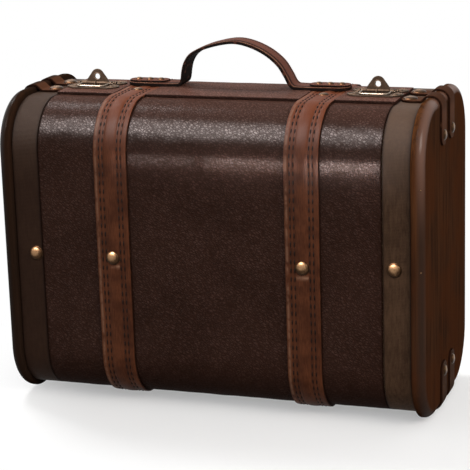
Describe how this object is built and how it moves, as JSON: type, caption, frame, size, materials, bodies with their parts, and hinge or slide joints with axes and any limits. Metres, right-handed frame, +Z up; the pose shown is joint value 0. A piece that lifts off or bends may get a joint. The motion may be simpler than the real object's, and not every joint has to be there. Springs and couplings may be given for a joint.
{
  "type": "wooden suitcase box",
  "caption": "Upright wooden suitcase box in dark leather with straps, proud wooden ends, dome nails, a leather handle, hasp latches and a front half hinged at the bottom.",
  "frame": {"origin": "centre of the bounding box on the ground, below the middle of the case, with the split between its halves in the plane y = 0", "axes": "+X along the length from the left end to the right end, +Y to the back half that carries the handle, +Z up"},
  "size_m": [0.408, 0.1884, 0.3333],
  "materials": {
    "plywood": "bare bent plywood",
    "lining": "brown cloth lining",
    "body_leather": "dark grained leather, semi-gloss",
    "end_board": "dark reddish-brown stained wood, satin varnish",
    "band": "olive-brown ribbed trim, matte",
    "strap_leather": "reddish-brown leather with stitching",
    "tab_leather": "reddish-brown leather, raw edges",
    "brass": "antique brass",
    "bronze": "dark antique bronze"
  },
  "bodies": {
    "back_half": {"back_shell": "plywood", "back_lining": "lining", "back_leather": "body_leather", "back_end_board_left": "end_board", "back_end_board_right": "end_board", "back_band_left": "band", "back_band_right": "band", "back_strap_left": "strap_leather", "back_strap_right": "strap_leather", "back_corner_tab_left_top": "tab_leather", "back_corner_tab_left_bottom": "tab_leather", "back_corner_tab_right_top": "tab_leather", "back_corner_tab_right_bottom": "tab_leather", "back_closure_strip_left": "body_leather", "back_closure_strip_middle": "body_leather", "back_closure_strip_right": "body_leather", "back_strap_nail_left": "brass", "back_strap_nail_right": "brass", "back_band_nail_left": "brass", "back_band_nail_right": "brass", "handle_strap": "strap_leather", "handle_patch_left": "strap_leather", "handle_patch_right": "strap_leather", "latch_back_plate_left": "bronze", "latch_back_plate_right": "bronze", "latch_pin_left": "bronze", "latch_pin_right": "bronze", "hinge_back_leaf_left": "bronze", "hinge_back_leaf_right": "bronze", "hinge_pin_left": "bronze", "hinge_pin_right": "bronze"},
    "front_half": {"front_shell": "plywood", "front_lining": "lining", "front_leather": "body_leather", "front_end_board_left": "end_board", "front_end_board_right": "end_board", "front_band_left": "band", "front_band_right": "band", "front_strap_left": "strap_leather", "front_strap_right": "strap_leather", "front_corner_tab_left_top": "tab_leather", "front_corner_tab_left_bottom": "tab_leather", "front_corner_tab_right_top": "tab_leather", "front_corner_tab_right_bottom": "tab_leather", "front_closure_strip_left": "body_leather", "front_closure_strip_middle": "body_leather", "front_closure_strip_right": "body_leather", "front_strap_nail_left": "brass", "front_strap_nail_right": "brass", "front_band_nail_left": "brass", "front_band_nail_right": "brass", "latch_front_plate_left": "bronze", "latch_front_plate_right": "bronze", "hinge_front_leaf_left": "bronze", "hinge_front_leaf_right": "bronze"},
    "left_hasp": {"latch_hasp_left": "bronze"},
    "right_hasp": {"latch_hasp_right": "bronze"},
    "left_bail": {"latch_bail_left": "bronze"},
    "right_bail": {"latch_bail_right": "bronze"}
  },
  "joints": [
    {"name": "front_half_hinge", "type": "hinge", "parent": "back_half", "child": "front_half", "pos_m": [0, 0, 0.0049], "axis": [1, 0, 0], "range_deg": [0, 100]},
    {"name": "left_hasp_hinge", "type": "hinge", "parent": "back_half", "child": "left_hasp", "pos_m": [-0.137, 0.003, 0.2909], "axis": [1, 0, 0], "range_deg": [-75, 82]},
    {"name": "right_hasp_hinge", "type": "hinge", "parent": "back_half", "child": "right_hasp", "pos_m": [0.137, 0.003, 0.2909], "axis": [1, 0, 0], "range_deg": [-75, 82]},
    {"name": "left_bail_hinge", "type": "hinge", "parent": "front_half", "child": "left_bail", "pos_m": [-0.137, -0.0028, 0.2914], "axis": [-1, 0, 0], "range_deg": [0, 90]},
    {"name": "right_bail_hinge", "type": "hinge", "parent": "front_half", "child": "right_bail", "pos_m": [0.137, -0.0028, 0.2914], "axis": [-1, 0, 0], "range_deg": [0, 90]}
  ]
}
